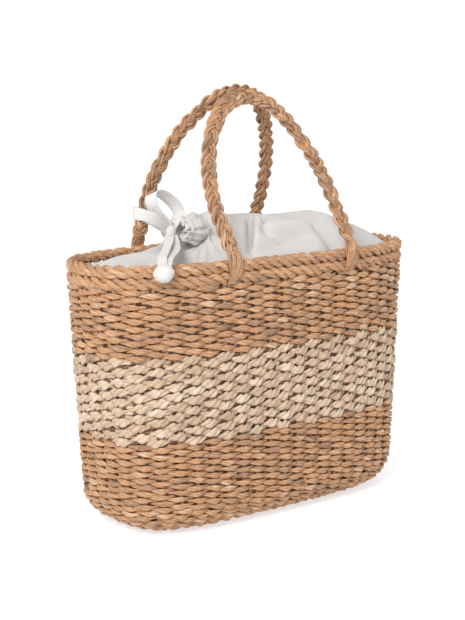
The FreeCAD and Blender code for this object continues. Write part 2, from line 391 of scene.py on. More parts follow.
# ---- camera, light and floor ----
CAMERA_PLACE = Vector((-0.9394, -1.1414, 0.4605))
CAMERA_TARGET = Vector((0.03387, 0.06086, 0.19809))
CAMERA_ROLL = math.radians(0.17)
CAMERA_LENS = 80.55
SENSOR_WIDTH = 36.0
LIGHT_TARGET = (0.0, 0.0, 0.18)
KEY_POWER = 61.0
FILL_POWER = 4.0
SKY_STRENGTH = 0.80           # what lights the basket
SKY_SEEN_EXTRA = 0.24         # added where the camera sees the sky itself
FLOOR_SIZE = 60.0
FLOOR_GREY = 0.5
FLOOR_GLOW = 0.63

camera_data = bpy.data.cameras.new("camera")
camera_data.lens = CAMERA_LENS
camera_data.sensor_width = SENSOR_WIDTH
camera = bpy.data.objects.new("camera", camera_data)
camera.rotation_mode = "QUATERNION"
camera.location = CAMERA_PLACE
look = (CAMERA_TARGET - CAMERA_PLACE).to_track_quat("-Z", "Y")
camera.rotation_quaternion = look @ Quaternion((0.0, 0.0, 1.0), CAMERA_ROLL)
bpy.context.scene.collection.objects.link(camera)
bpy.context.scene.camera = camera
bpy.context.scene.view_settings.view_transform = "Standard"


def soft_light(name, place, target, size, power, color):
    data = bpy.data.lights.new(name, "AREA")
    data.shape = "DISK"
    data.size = size
    data.energy = power
    data.color = color
    light = bpy.data.objects.new(name, data)
    light.location = place
    light.rotation_mode = "QUATERNION"
    light.rotation_quaternion = (Vector(target) - Vector(place)).to_track_quat("-Z", "Y")
    bpy.context.scene.collection.objects.link(light)


soft_light("key", (-2.0, -1.3, 1.7), LIGHT_TARGET, 1.0, KEY_POWER, (1.0, 0.98, 0.95))
soft_light("fill", (1.9, -1.4, 1.1), LIGHT_TARGET, 1.6, FILL_POWER, (0.97, 0.98, 1.0))

world = bpy.data.worlds.new("studio")
world.use_nodes = True
sky = world.node_tree.nodes["Background"]
sky.inputs["Color"].default_value = (1.0, 1.0, 1.0, 1.0)
rays = node_of(world.node_tree, "ShaderNodeLightPath")
brightness = node_of(world.node_tree, "ShaderNodeMath", operation="MULTIPLY_ADD")
brightness.inputs[1].default_value = SKY_SEEN_EXTRA
brightness.inputs[2].default_value = SKY_STRENGTH
world.node_tree.links.new(rays.outputs["Is Camera Ray"], brightness.inputs[0])
world.node_tree.links.new(brightness.outputs[0], sky.inputs["Strength"])
bpy.context.scene.world = world

floor_mesh = bpy.data.meshes.new("floor")
half = FLOOR_SIZE / 2.0
floor_corners = [(-half, -half, 0.0), (half, -half, 0.0), (half, half, 0.0), (-half, half, 0.0)]
floor_mesh.from_pydata(floor_corners, [], [(0, 1, 2, 3)])
floor = bpy.data.objects.new("floor", floor_mesh)
floor_material = bpy.data.materials.new("floor")
floor_material.use_nodes = True
floor_shader = floor_material.node_tree.nodes["Principled BSDF"]
floor_shader.inputs["Base Color"].default_value = (FLOOR_GREY, FLOOR_GREY, FLOOR_GREY, 1.0)
floor_shader.inputs["Roughness"].default_value = 0.9
floor_shader.inputs["Emission Color"].default_value = (0.97, 0.98, 1.0, 1.0)
floor_shader.inputs["Emission Strength"].default_value = FLOOR_GLOW
floor_mesh.materials.append(floor_material)
bpy.context.scene.collection.objects.link(floor)


# ---- drawstring: flat cotton tape ----
UPPER_LOOP = (
    (-0.123, -0.033, 0.311), (-0.138, -0.036, 0.321), (-0.148, -0.037, 0.334), (-0.148, -0.035, 0.344),
    (-0.137, -0.031, 0.347), (-0.121, -0.027, 0.340), (-0.109, -0.026, 0.330), (-0.106, -0.027, 0.322),
    (-0.113, -0.029, 0.316), (-0.119, -0.030, 0.310),
)
SIDE_LOOP = (
    (-0.127, -0.034, 0.309), (-0.137, -0.040, 0.315), (-0.149, -0.045, 0.321), (-0.162, -0.044, 0.326),
    (-0.168, -0.035, 0.327), (-0.162, -0.026, 0.327), (-0.148, -0.023, 0.324), (-0.135, -0.025, 0.317),
    (-0.126, -0.028, 0.311),
)
FIRST_TAIL = (
    (-0.124, -0.034, 0.303), (-0.131, -0.043, 0.298), (-0.143, -0.054, 0.292), (-0.154, -0.064, 0.2885),
    (-0.162, -0.073, 0.285), (-0.165, -0.079, 0.279),
)
SECOND_TAIL = (
    (-0.120, -0.033, 0.3025), (-0.121, -0.040, 0.296), (-0.129, -0.051, 0.290), (-0.141, -0.062, 0.287),
    (-0.153, -0.071, 0.285), (-0.160, -0.078, 0.280),
)
BOW_KNOT = np.array([-0.123, -0.031, 0.3065])
BOW_KNOT_RADIUS = 0.0069
END_KNOT = np.array([-0.164, -0.079, 0.273])
END_KNOT_RADIUS = 0.0095


def route_points(route):
    """Points along the smooth line that the route controls."""
    curve = bpy.data.curves.new("route", "CURVE")
    curve.dimensions = "3D"
    curve.resolution_u = 10
    spline = curve.splines.new("NURBS")
    spline.points.add(len(route) - 1)
    for point, place in zip(spline.points, route):
        point.co = (*place, 1.0)
    spline.order_u = 3
    spline.use_endpoint_u = True
    line = bpy.data.objects.new("route", curve)
    bpy.context.scene.collection.objects.link(line)
    mesh = bpy.data.meshes.new_from_object(line.evaluated_get(bpy.context.evaluated_depsgraph_get()))
    points = np.array([v.co for v in mesh.vertices])
    bpy.data.objects.remove(line)
    bpy.data.curves.remove(curve)
    bpy.data.meshes.remove(mesh)
    return points


def lengths_along(points):
    steps = np.linalg.norm(np.diff(points, axis=0), axis=1)
    return np.concatenate([[0.0], np.cumsum(steps)])


def ribbon(mesh, points, sides, width, thickness, curl):
    """Adds a flat tape along the points. sides are its width directions, spread evenly along it."""
    along = lengths_along(points)
    tangent = unit(np.gradient(points, axis=0))
    stations = np.linspace(0.0, along[-1], len(sides))
    side = np.stack([np.interp(along, stations, np.array(sides)[:, k]) for k in range(3)], axis=-1)
    side = unit(side - tangent * np.sum(side * tangent, axis=1, keepdims=True))
    face = np.cross(tangent, side)
    across = np.array([-1.0, -0.9, -0.45, 0.0, 0.45, 0.9, 1.0, 0.9, 0.45, 0.0, -0.45, -0.9])
    lift = np.array([0.0, 0.7, 1.0, 0.9, 1.0, 0.7, 0.0, -0.7, -1.0, -0.9, -1.0, -0.7])
    camber = curl * (1.0 - across ** 2) * width
    wobble = 1.0 + 0.05 * smooth_noise(len(points), 9, False)
    grid = (
        points[:, None]
        + side[:, None] * (across[None] * (width / 2.0 * wobble)[:, None])[..., None]
        + face[:, None] * (lift * thickness / 2.0 + camber)[None, :, None]
    )
    mesh.grid(grid, along, np.full(len(points), 0.5), False, True, caps=True)


def wound_knot(mesh, centre, radius, width, thickness, turns, tilt_axis):
    """Adds a ball of tape wound over itself, each turn on a new slant."""
    for turn in range(turns):
        tilt = Matrix.Rotation(math.pi * turn / turns + 0.35, 3, Vector(tilt_axis))
        angle = np.linspace(0.0, 2.0 * math.pi, 40, endpoint=False)
        grow = radius * (0.86 + 0.05 * turn / turns + 0.04 * np.sin(2.0 * angle + turn))
        weave = 0.12 * radius * np.sin(3.0 * angle + turn)
        ring = np.stack([grow * np.cos(angle), grow * np.sin(angle), weave], axis=-1)
        ring = ring @ np.array(tilt).T
        axis = np.array(tilt) @ np.array([0.0, 0.0, 1.0])
        section = np.linspace(0.0, 2.0 * math.pi, 12, endpoint=False)
        across = np.cos(section)
        lift = np.sin(section)
        out = unit(ring)
        grid = (
            ring[:, None]
            + axis[None, None] * (across * width / 2.0)[None, :, None]
            + out[:, None] * (lift * thickness / 2.0 - 0.28 * radius * across ** 2)[None, :, None]
        )
        mesh.grid(grid + centre, angle * radius, np.full(len(angle), 0.5), True, True)


bow_knot_mesh = Mesh()
wound_knot(bow_knot_mesh, BOW_KNOT, BOW_KNOT_RADIUS, 0.0085, 0.0030, 4, (0.2, 1.0, 0.3))
bow_knot = bow_knot_mesh.piece("bow_knot", tape_cotton)
end_knot_mesh = Mesh()
wound_knot(end_knot_mesh, END_KNOT, END_KNOT_RADIUS, 0.0105, 0.0036, 5, (1.0, 0.4, 0.1))
end_knot = end_knot_mesh.piece("end_knot", tape_cotton)
for knot, node in ((bow_knot, "drawstring_bow_knot"), (end_knot, "drawstring_end_knot")):
    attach(knot, "basket")
    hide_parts(node)

# Width directions spread evenly along each tape.
UPPER_LOOP_SIDES = (
    (0.6, -0.42, 0.36), (0.6, -0.42, 0.36), (0.5, -0.6, 0.4), (0.6, -0.42, 0.36), (0.6, -0.42, 0.36))
SIDE_LOOP_SIDES = (
    (0.1, -0.2, 1.0), (0.05, -0.2, 1.0), (0.0, -0.1, 1.0), (0.1, 0.0, 1.0), (0.2, 0.0, 1.0))
FIRST_TAIL_SIDES = ((0.8, -0.6, 0.0), (0.7, -0.6, 0.3), (0.7, -0.6, 0.2), (0.8, -0.6, 0.0))
SECOND_TAIL_SIDES = ((0.8, -0.6, 0.0), (0.8, -0.5, 0.1), (0.7, -0.6, 0.3), (0.8, -0.6, 0.0))
TAIL_CURL = 0.06

for name, route, sides, curl in (
    ("upper_loop", UPPER_LOOP, UPPER_LOOP_SIDES, 0.0),
    ("side_loop", SIDE_LOOP, SIDE_LOOP_SIDES, 0.0),
    ("first_tail", FIRST_TAIL, FIRST_TAIL_SIDES, TAIL_CURL),
    ("second_tail", SECOND_TAIL, SECOND_TAIL_SIDES, TAIL_CURL),
):
    line = route_points(route)
    strip = Mesh()
    ends_in_knot = name.endswith("tail")
    tape_width = TAIL_WIDTH if ends_in_knot else LOOP_WIDTH
    ribbon(strip, line, sides, tape_width, TAPE_THICKNESS, curl)
    tape = strip.piece("tape_" + name, tape_cotton)
    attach(tape, "basket")
    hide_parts("drawstring_" + name)


# ---- the wall's shape ----
def wall_size(z, inset):
    """Half length, half width and squareness of the wall's oval at a height, drawn in by inset."""
    share = z / RIM_Z
    half_length = BASE_HALF_LENGTH + (RIM_HALF_LENGTH - BASE_HALF_LENGTH) * share - inset
    half_width = BASE_HALF_WIDTH + (RIM_HALF_WIDTH - BASE_HALF_WIDTH) * share - inset
    squareness = BASE_SQUARENESS + (RIM_SQUARENESS - BASE_SQUARENESS) * share
    return half_length, half_width, squareness


def oval(half_length, half_width, squareness, angles):
    c = np.cos(angles)
    s = np.sin(angles)
    reach = (np.abs(c) ** squareness + np.abs(s) ** squareness) ** (-1.0 / squareness)
    return np.stack([half_length * reach * c, half_width * reach * s], axis=-1)


def even_oval(z, inset, count):
    """Points spaced evenly round the wall's oval, and their outward directions, in plan."""
    size = wall_size(z, inset)
    angles = np.linspace(0.0, 2.0 * math.pi, 2401)
    outline = oval(*size, angles)
    along = lengths_along(outline)
    places = np.linspace(0.0, along[-1], count, endpoint=False)
    points = np.stack([np.interp(places, along, outline[:, k]) for k in range(2)], axis=-1)
    ahead = np.roll(points, -1, axis=0) - np.roll(points, 1, axis=0)
    out = unit(np.stack([ahead[:, 1], -ahead[:, 0]], axis=-1))
    return points, out, along[-1]


def wall_course(height, count):
    """One course round the middle of the wall.

    height is measured up the outer face: above the corner it is z, and below it follows the
    rounded corner, and then the underside, inwards.
    """
    quarter = CORNER_RADIUS * math.pi / 2.0
    drop = CORNER_RADIUS - height
    turn = min(max(drop / CORNER_RADIUS, 0.0), math.pi / 2.0)
    underside = max(drop - quarter, 0.0)
    z = height if drop <= 0.0 else CORNER_RADIUS * (1.0 - math.sin(turn))
    inset = CORNER_RADIUS * (1.0 - math.cos(turn)) + underside
    middle = WALL / 2.0
    points, out, around = even_oval(z, inset + middle * math.cos(turn), count)
    level = np.full((count, 1), z + middle * math.sin(turn))
    points = np.hstack([points, level])
    outward = np.hstack([out * math.cos(turn), np.full((count, 1), -math.sin(turn))])
    upward = np.hstack([out * math.sin(turn), np.full((count, 1), math.cos(turn))])
    return points, outward, upward, around


# ---- weaving ----
def weaver(
        mesh, height, course, pitch, steps, corners, plies, twist, lean, tone_low, tone_high, groove,
        thin=1.0, full=1.0):
    """Adds one closed course of plain weave, outside one stake and inside the next.

    Each float swells between its neighbours and thins to a pointed tip where it crosses the wall.
    plies strips are twisted together in it, one turn in twist stakes, and lean tilts the floats.
    groove sets how far the plies stand apart, and thin and full scale its depth and its height.
    A flat strip in the darkest tone runs along the middle of the wall behind the tips: painted shade
    that shows in the gaps between the floats.
    """
    count = STAKES * steps
    points, outward, upward, around = wall_course(height, count)
    stake = np.arange(count) / steps
    place = stake + random.uniform(-0.16, 0.16) + 0.12 * smooth_noise(count, 41, True)
    swing = np.cos(math.pi * (place + course))
    slope = np.sin(math.pi * (place + course))
    swell = np.abs(swing) ** 1.2
    number = np.rint(place).astype(int) % STAKES
    plump = random.uniform(0.86, 1.10, STAKES)[number]
    bulge = random.uniform(-0.0004, 0.0006, STAKES)[number]
    float_tone = random.uniform(tone_low, tone_high, STAKES)
    long_tone = smooth_noise(STAKES, 12, True) * 0.12
    tone = np.clip(float_tone + long_tone, 0.0, 1.0)[number]
    offset = swing * (FLOAT_OFFSET * thin + bulge * swell)
    wander = 0.0006 * smooth_noise(count, 59, True) - lean * slope * np.abs(slope)
    centres = points + outward * offset[:, None] + upward * wander[:, None]
    height_half = pitch / 2.0 * (TIP_FILL + TIP_FILL * swell * plump)
    depth_half = np.full(count, FLOAT_HALF_DEPTH * thin)
    along = around * np.arange(count) / count + 3.1 * course
    turns = max(round(STAKES / abs(twist)), 1) * (1 if twist > 0 else -1)
    drift = 2.2 * smooth_noise(count, 11, True) / max(abs(turns) ** 0.5, 1.0)
    phase = 2.0 * math.pi * turns * stake / STAKES + random.uniform(0.0, 2.0 * math.pi) + drift
    # painted shade: the strip behind the floats takes tone 0, the darkest colour, so the gaps between
    # floats read as shadow
    painted_shade_core_tone = np.full(count, 0.0)
    tube(
        mesh, points - outward * SHADE_CORE_INSET, outward, upward, np.full(count, SHADE_CORE_HALF_DEPTH),
        np.full(count, pitch * 0.62), along, painted_shade_core_tone, 4, True)
    for ply in range(plies):
        angle = phase + 2.0 * math.pi * ply / plies
        front = np.cos(angle)
        side = np.sin(angle)
        shift = (
            outward * (front * depth_half * groove)[:, None]
            + upward * (side * height_half * 0.50)[:, None])
        uneven = 1.0 + 0.08 * smooth_noise(count, 70, True)
        ply_height = height_half * full * (0.50 + 0.14 * np.abs(front)) * uneven
        ply_tone = tone + random.uniform(-0.10, 0.10)
        shade = np.clip(ply_tone + 0.20 * smooth_noise(count, 130, True), 0.12, 1.0)
        tube(
            mesh, centres + shift, outward, upward, depth_half * 0.72, ply_height, along, shade,
            corners, True)


def courses(name, nodes, low, high, count, first_course, per_piece, material, slot, **style):
    """Weaves a band as several pieces, and returns the next course's number."""
    pitch = (high - low) / count
    for start in range(0, count, per_piece):
        mesh = Mesh()
        for row in range(start, min(start + per_piece, count)):
            weaver(mesh, low + pitch * (row + 0.5), first_course + row, pitch, **style)
        piece = mesh.piece("%s_courses_%d" % (name, start // per_piece + 1), material)
        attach(piece, "basket")
        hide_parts(*nodes)
    return first_course + count


def corner_height(z):
    """Height up the outer face for a level on the rounded corner."""
    return CORNER_RADIUS - CORNER_RADIUS * math.asin((CORNER_RADIUS - z) / CORNER_RADIUS)


UNDERSIDE_EDGE = CORNER_RADIUS - CORNER_RADIUS * math.pi / 2.0
BASE_CENTRE = UNDERSIDE_EDGE - BASE_REACH
brown = dict(
    steps=9, corners=8, plies=3, twist=-2.4, lean=0.0003, tone_low=0.32, tone_high=0.85,
    groove=0.55)
pale = dict(
    steps=12, corners=8, plies=2, twist=1.05, lean=-0.0006, tone_low=0.32, tone_high=0.85,
    groove=0.52, full=1.22)
under = dict(
    steps=6, corners=6, plies=2, twist=-2.4, lean=0.0008, tone_low=0.25, tone_high=0.75,
    groove=0.4, thin=0.8)

course = courses(
    "base", ["base_weave"], BASE_CENTRE, UNDERSIDE_EDGE, BASE_ROWS, 0, BASE_ROWS_PER_PIECE,
    seagrass, "seagrass", **under)
course = courses(
    "foot", ["foot_row"], UNDERSIDE_EDGE, corner_height(FOOT_ROW_Z), FOOT_ROWS, course,
    FOOT_ROWS_PER_PIECE, seagrass, "seagrass", thin=0.85, **brown)
course = courses(
    "lower", ["lower_weave"], corner_height(FOOT_ROW_Z), PALE_BAND_Z, LOWER_ROWS, course,
    WALL_ROWS_PER_PIECE, seagrass, "seagrass", **brown)
course = courses(
    "middle", ["middle_weave"], PALE_BAND_Z, UPPER_BAND_Z, PALE_ROWS, course, WALL_ROWS_PER_PIECE,
    pale_cord, "pale_cord", **pale)
courses(
    "upper", ["upper_weave"], UPPER_BAND_Z, BORDER_Z, UPPER_ROWS, course, WALL_ROWS_PER_PIECE,
    seagrass, "seagrass", **brown)


# ---- rim border: two thick courses laid like rope ----
def rope_course(mesh, z, depth_half, height_half, phase):
    """Adds one border row: strands laid like rope, each of three twisted strips."""
    count = BORDER_STEPS
    points, outward, upward, around = wall_course(z, count)
    share = np.arange(count) / count
    for strand in range(BORDER_STRANDS):
        wobble = 0.45 * smooth_noise(count, 43, True)
        angle = 2.0 * math.pi * (BORDER_TURNS * share + strand / BORDER_STRANDS) + phase + wobble
        tone = 0.55 + 0.28 * smooth_noise(count, 70, True)
        wide = 1.0 + 0.14 * smooth_noise(count, 110, True)
        for strip in range(3):
            inner = 2.0 * math.pi * (27.0 * share + strip / 3.0) + strand
            lift = np.cos(angle) * (depth_half * 0.50) + np.cos(inner) * 0.0008
            rise = -np.sin(angle) * (height_half * 0.54) + np.sin(inner) * 0.0014
            centres = points + outward * lift[:, None] + upward * rise[:, None]
            shade = np.clip(tone + random.uniform(-0.16, 0.16), 0.0, 1.0)
            tube(
                mesh, centres, outward, upward, depth_half * 0.36 * wide, height_half * 0.34 * wide,
                around * share, shade, 8, True)


for name, node, low, high, phase in (
    ("rim_lower", "rim_border_lower", BORDER_Z, BORDER_SPLIT_Z, 0.0),
    ("rim_upper", "rim_border_upper", BORDER_SPLIT_Z, RIM_Z, 1.1),
):
    border = Mesh()
    rope_course(border, (low + high) / 2.0, WALL / 2.0, (high - low) / 2.0 * BORDER_FILL, phase)
    piece = border.piece(name, seagrass)
    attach(piece, "basket")
    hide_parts(node)


# ---- handles: three-strand braids whose ends run down over the border ----
def handle_line(side):
    """Centre line of a handle from foot to foot.

    side is -1 at the front and 1 at the back. The line comes with the directions out of the
    braid's face and across its width, the lengths along it and the heights above the hinge.
    """
    shoulder = (HANDLE_HALF_SPAN - HANDLE_TOP_RADIUS * math.cos(HANDLE_SHOULDER_TURN)) / (
        1.0 - math.cos(HANDLE_SHOULDER_TURN))
    leg = (HANDLE_HEIGHT - shoulder * math.sin(HANDLE_SHOULDER_TURN)
           - HANDLE_TOP_RADIUS * (1.0 - math.sin(HANDLE_SHOULDER_TURN)))
    flat = []
    for up in np.linspace(FOOT_BOTTOM_Z - HINGE_Z, leg, 40, endpoint=False):
        flat.append((HANDLE_HALF_SPAN, up))
    for turn in np.linspace(0.0, HANDLE_SHOULDER_TURN, 40, endpoint=False):
        flat.append((HANDLE_HALF_SPAN - shoulder + shoulder * math.cos(turn),
                     leg + shoulder * math.sin(turn)))
    for turn in np.linspace(HANDLE_SHOULDER_TURN, math.pi / 2.0, 60):
        flat.append((HANDLE_TOP_RADIUS * math.cos(turn),
                     HANDLE_HEIGHT - HANDLE_TOP_RADIUS + HANDLE_TOP_RADIUS * math.sin(turn)))
    right = np.array(flat)
    left = right[::-1][1:] * np.array([-1.0, 1.0])
    plan = np.vstack([right, left])
    along = lengths_along(plan)
    count = HANDLE_STEPS
    places = np.linspace(0.0, along[-1], count)
    across = np.interp(places, along, plan[:, 0])
    up = np.interp(places, along, plan[:, 1])
    lean = math.asin((HINGE_Y - (FRONT_TOP_GAP if side < 0 else BACK_TOP_GAP)) / HANDLE_HEIGHT)
    bend = smooth_step((up + 0.006) / 0.016)
    rise = np.clip(up / HANDLE_HEIGHT, 0.0, 1.0)
    belly = 4.0 * rise * (1.0 - rise)
    sway = HANDLE_SWAY[0 if side < 0 else 1] * belly
    lean_y = -HINGE_Y + np.maximum(up, 0.0) * math.sin(lean) - HANDLE_BELLY * belly
    lean_z = HINGE_Z + np.where(up > 0.0, up * math.cos(lean), up)
    points = np.stack([across + sway, -side * lean_y, lean_z], axis=-1)
    ahead = unit(np.gradient(points, axis=0))
    tilt = lean * bend
    face = np.stack([np.zeros(count), side * np.cos(tilt), np.sin(tilt)], axis=-1)
    face = unit(face - ahead * np.sum(face * ahead, axis=1, keepdims=True))
    width = np.cross(face, ahead)
    return points, face, width, places, up


def fray(mesh, start, length, lines, tone):
    """Adds a thin loose fibre that follows a strand and then lifts away from it."""
    centre, out, side, places = lines
    step = places[1] - places[0]
    last = min(start + int(length / step), len(places))
    share = np.linspace(0.0, 1.0, last - start)
    drift = random.uniform(-0.0022, 0.0022)
    lift = STRAND_HALF_DEPTH + 0.0011 + random.uniform(0.0006, 0.0024) * share ** 2
    line = (
        centre[start:last] + out[start:last] * lift[:, None]
        + side[start:last] * (drift * (0.4 + share))[:, None])
    size = FIBRE_HALF_WIDTH * (1.0 - 0.8 * share ** 3)
    tube(mesh, line, out[start:last], side[start:last], size * 0.7, size, places[start:last],
         np.full(last - start, tone), 4, False)


def handle(side, node, feet, name):
    """Builds a handle's three strands: braided above the hinge, side by side in the feet below."""
    points, face, width, places, up = handle_line(side)
    count = len(points)
    loose = smooth_step((up - 0.003) / 0.013)
    start = random.uniform(0.0, 1.0)
    pace = places / BRAID_PERIOD + 0.10 * smooth_noise(count, 14, False)
    for strand in range(3):
        mesh = Mesh()
        angle = 2.0 * math.pi * (start + pace + strand / 3.0)
        order = (strand - 1) * FOOT_STRAND_PITCH * (1.0 - 0.42 * smooth_step(-up / 0.022))
        foot_rise = -0.0045 * smooth_step((-up - 0.014) / 0.010)
        lateral = BRAID_HALF_WIDTH * np.sin(angle) * loose + order * (1.0 - loose)
        rise = BRAID_HALF_DEPTH * np.sin(2.0 * angle) * loose + foot_rise * (1.0 - loose)
        centre = points + width * lateral[:, None] + face * rise[:, None]
        run = unit(np.gradient(centre, axis=0))
        along_side = unit(np.cross(face, run))
        out = np.cross(run, along_side)
        plump = (1.0 + 0.10 * smooth_noise(count, 34, False)) * (0.80 + 0.20 * loose)
        tone = 0.52 + 0.30 * smooth_noise(count, 40, False)
        ends = np.where((places < 0.004) | (places > places[-1] - 0.004), 0.75, 1.0)
        # painted shade: a dark tube at tone 0.1 fills each strand, so the gaps between its strips read
        # as shadow
        tube(
            mesh, centre, out, along_side, STRAND_SHADE_CORE_HALF_DEPTH * plump * ends,
            STRAND_SHADE_CORE_HALF_WIDTH * plump * ends, places, np.full(count, 0.1), 8, False)
        for strip in range(STRIPS_PER_STRAND):
            turn = places / STRIP_TWIST_LENGTH + strip / STRIPS_PER_STRAND
            spin = 2.0 * math.pi * turn + 1.7 * strand + 0.8 * smooth_noise(count, 12, False)
            shift = (
                along_side * (np.cos(spin) * STRAND_HALF_WIDTH * plump)[:, None]
                + out * (np.sin(spin) * STRAND_HALF_DEPTH * plump)[:, None])
            shade = np.clip(tone + random.uniform(-0.22, 0.22), 0.0, 1.0)
            size = plump * ends * (1.0 + 0.10 * smooth_noise(count, 50, False))
            tube(
                mesh, centre + shift, out, along_side, STRIP_HALF_DEPTH * size,
                STRIP_HALF_WIDTH * size, places, shade, 8, False)
        for _ in range(FIBRES_PER_STRAND):
            begin = random.integers(10, count - 60)
            fray(mesh, begin, random.uniform(0.012, 0.026), (centre, out, along_side, places),
                 random.uniform(0.4, 1.0))
        piece = mesh.piece("%s_strand_%d" % (name, strand + 1), seagrass)
        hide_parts(node % (strand + 1), *feet)
        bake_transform(piece)


handle(
    -1, "front_handle_strand_%d", ["front_left_foot", "front_right_foot"],
    "front_braid")
handle(
    1, "back_handle_strand_%d", ["back_left_foot", "back_right_foot"],
    "back_braid")


# ---- liner ----
LINER_INSET = WALL + 0.0016
NECK = np.array([-0.082, -0.026, 0.305])
NECK_DIRECTION = unit(np.array([-0.97, -0.20, 0.06]))
NECK_ASIDE = unit(np.cross(NECK_DIRECTION, np.array([0.0, 0.0, 1.0])))
NECK_OVER = np.cross(NECK_ASIDE, NECK_DIRECTION)
NECK_RADIUS = 0.0135
CROWN_EDGE_Z = 0.268

# The crown's height along its middle, as x and z.
RIDGE = (
    (-0.200, 0.270), (-0.186, 0.2725), (-0.165, 0.275), (-0.134, 0.277), (-0.112, 0.281),
    (-0.098, 0.287), (-0.084, 0.300), (-0.053, 0.315), (-0.020, 0.315), (0.020, 0.314),
    (0.050, 0.3145), (0.068, 0.3145), (0.096, 0.310), (0.144, 0.298), (0.176, 0.286), (0.200, 0.270),
)
# Folds of the crown: plan points, height, and half widths on the left and right of that line.
FOLDS = (
    (((-0.006, -0.016), (-0.019, -0.032), (-0.030, -0.044), (-0.037, -0.054)), -0.0136, 0.0050, 0.0036),
    (((0.004, -0.016), (-0.008, -0.030), (-0.018, -0.042)), 0.0071, 0.0040, 0.0036),
    (((0.006, -0.022), (0.003, -0.030), (-0.002, -0.038)), -0.0058, 0.0036, 0.0030),
    (((-0.038, -0.056), (-0.020, -0.053), (0.002, -0.048), (0.028, -0.046)), -0.0061, 0.0050, 0.0030),
    (((0.002, -0.034), (0.014, -0.040), (0.032, -0.043), (0.058, -0.047)), -0.0080, 0.0030, 0.0060),
    (((0.000, -0.028), (0.014, -0.035), (0.032, -0.038), (0.060, -0.041)), 0.0090, 0.0070, 0.0034),
    (((0.038, -0.022), (0.056, -0.034), (0.063, -0.048), (0.064, -0.068)), 0.0070, 0.0040, 0.0160),
    (((0.056, -0.016), (0.073, -0.031), (0.081, -0.046), (0.081, -0.068)), -0.0150, 0.0200, 0.0120),
    (((0.096, -0.006), (0.108, -0.024), (0.110, -0.048)), 0.0051, 0.0200, 0.0160),
    (((0.020, 0.010), (0.040, -0.006), (0.060, -0.014)), -0.0041, 0.0060, 0.0080),
    (((-0.048, 0.010), (-0.044, -0.012), (-0.050, -0.034), (-0.060, -0.050)), 0.0061, 0.0060, 0.0060),
    (((-0.034, 0.010), (-0.033, -0.012), (-0.040, -0.034)), -0.0061, 0.0050, 0.0050),
    (((-0.062, -0.012), (-0.066, -0.024), (-0.074, -0.040)), -0.0093, 0.0034, 0.0030),
    (((-0.070, -0.020), (-0.080, -0.036), (-0.090, -0.046)), 0.0068, 0.0034, 0.0034),
    (((-0.076, -0.026), (-0.086, -0.038), (-0.097, -0.046)), -0.0076, 0.0030, 0.0034),
    (((-0.122, -0.030), (-0.104, -0.037), (-0.088, -0.045), (-0.070, -0.052)), 0.0061, 0.0060, 0.0040),
    (((-0.120, -0.042), (-0.100, -0.048), (-0.078, -0.056)), -0.0085, 0.0060, 0.0080),
    (((-0.104, -0.006), (-0.124, 0.008), (-0.150, 0.014), (-0.176, 0.008)), 0.0045, 0.0120, 0.0080),
    (((-0.104, 0.020), (-0.130, 0.032), (-0.165, 0.034)), -0.0040, 0.0100, 0.0140),
    (((-0.110, -0.020), (-0.135, -0.022), (-0.165, -0.034)), -0.0076, 0.0080, 0.0100),
    (((-0.062, 0.004), (-0.050, 0.030), (-0.030, 0.055)), 0.0068, 0.0080, 0.0060),
    (((-0.078, 0.000), (-0.086, 0.026), (-0.086, 0.055)), -0.0076, 0.0060, 0.0080),
    (((0.020, 0.020), (0.060, 0.034), (0.110, 0.036)), -0.0068, 0.0100, 0.0140),
)


def crown_height(x, y):
    """Height of the gathered cloth over a plan point."""
    half_length, half_width, squareness = wall_size(RIM_Z, LINER_INSET)
    place = np.clip(np.abs(x) / half_length, 0.0, 0.999)
    edge = np.maximum(half_width * (1.0 - place ** squareness) ** (1.0 / squareness), 0.004)
    share = np.clip(np.abs(y) / edge, 0.0, 1.0)
    ridge_x, ridge_z = np.array(RIDGE).T
    ridge = np.zeros_like(x)
    for shift in (-0.012, -0.006, 0.0, 0.006, 0.012):
        ridge = ridge + np.interp(x + shift, ridge_x, ridge_z) / 5.0
    return CROWN_EDGE_Z + (ridge - CROWN_EDGE_Z) * (1.0 - share ** 1.55)


def fold_height(x, y):
    total = np.zeros_like(x)
    place = np.stack([x, y], axis=-1)
    for route, height, left_width, right_width in FOLDS:
        route = np.array(route)
        lengths = lengths_along(route)
        best = np.full(x.shape, 1e9)
        share = np.zeros_like(x)
        width = np.zeros_like(x)
        for first, last, base in zip(route[:-1], route[1:], lengths):
            run = last - first
            part = np.clip(((place - first) @ run) / (run @ run), 0.0, 1.0)
            gap = place - first - part[..., None] * run
            away = np.linalg.norm(gap, axis=-1)
            left = run[0] * gap[..., 1] - run[1] * gap[..., 0] > 0.0
            nearer = away < best
            best = np.where(nearer, away, best)
            width = np.where(nearer, np.where(left, left_width, right_width), width)
            share = np.where(nearer, (base + part * np.linalg.norm(run)) / lengths[-1], share)
        fade = np.sin(math.pi * np.clip(0.14 + 0.80 * share, 0.0, 1.0)) ** 0.6
        total = total + height * fade * np.exp(-((best / width) ** 2))
    return total


def neck_ring(radius, angles, along):
    """A ring round the gather: angle 0 is its top and a quarter turn is towards the back."""
    return (
        NECK + NECK_DIRECTION * np.asarray(along)[..., None]
        + NECK_OVER * (radius * np.cos(angles))[:, None]
        + NECK_ASIDE * (radius * np.sin(angles))[:, None])


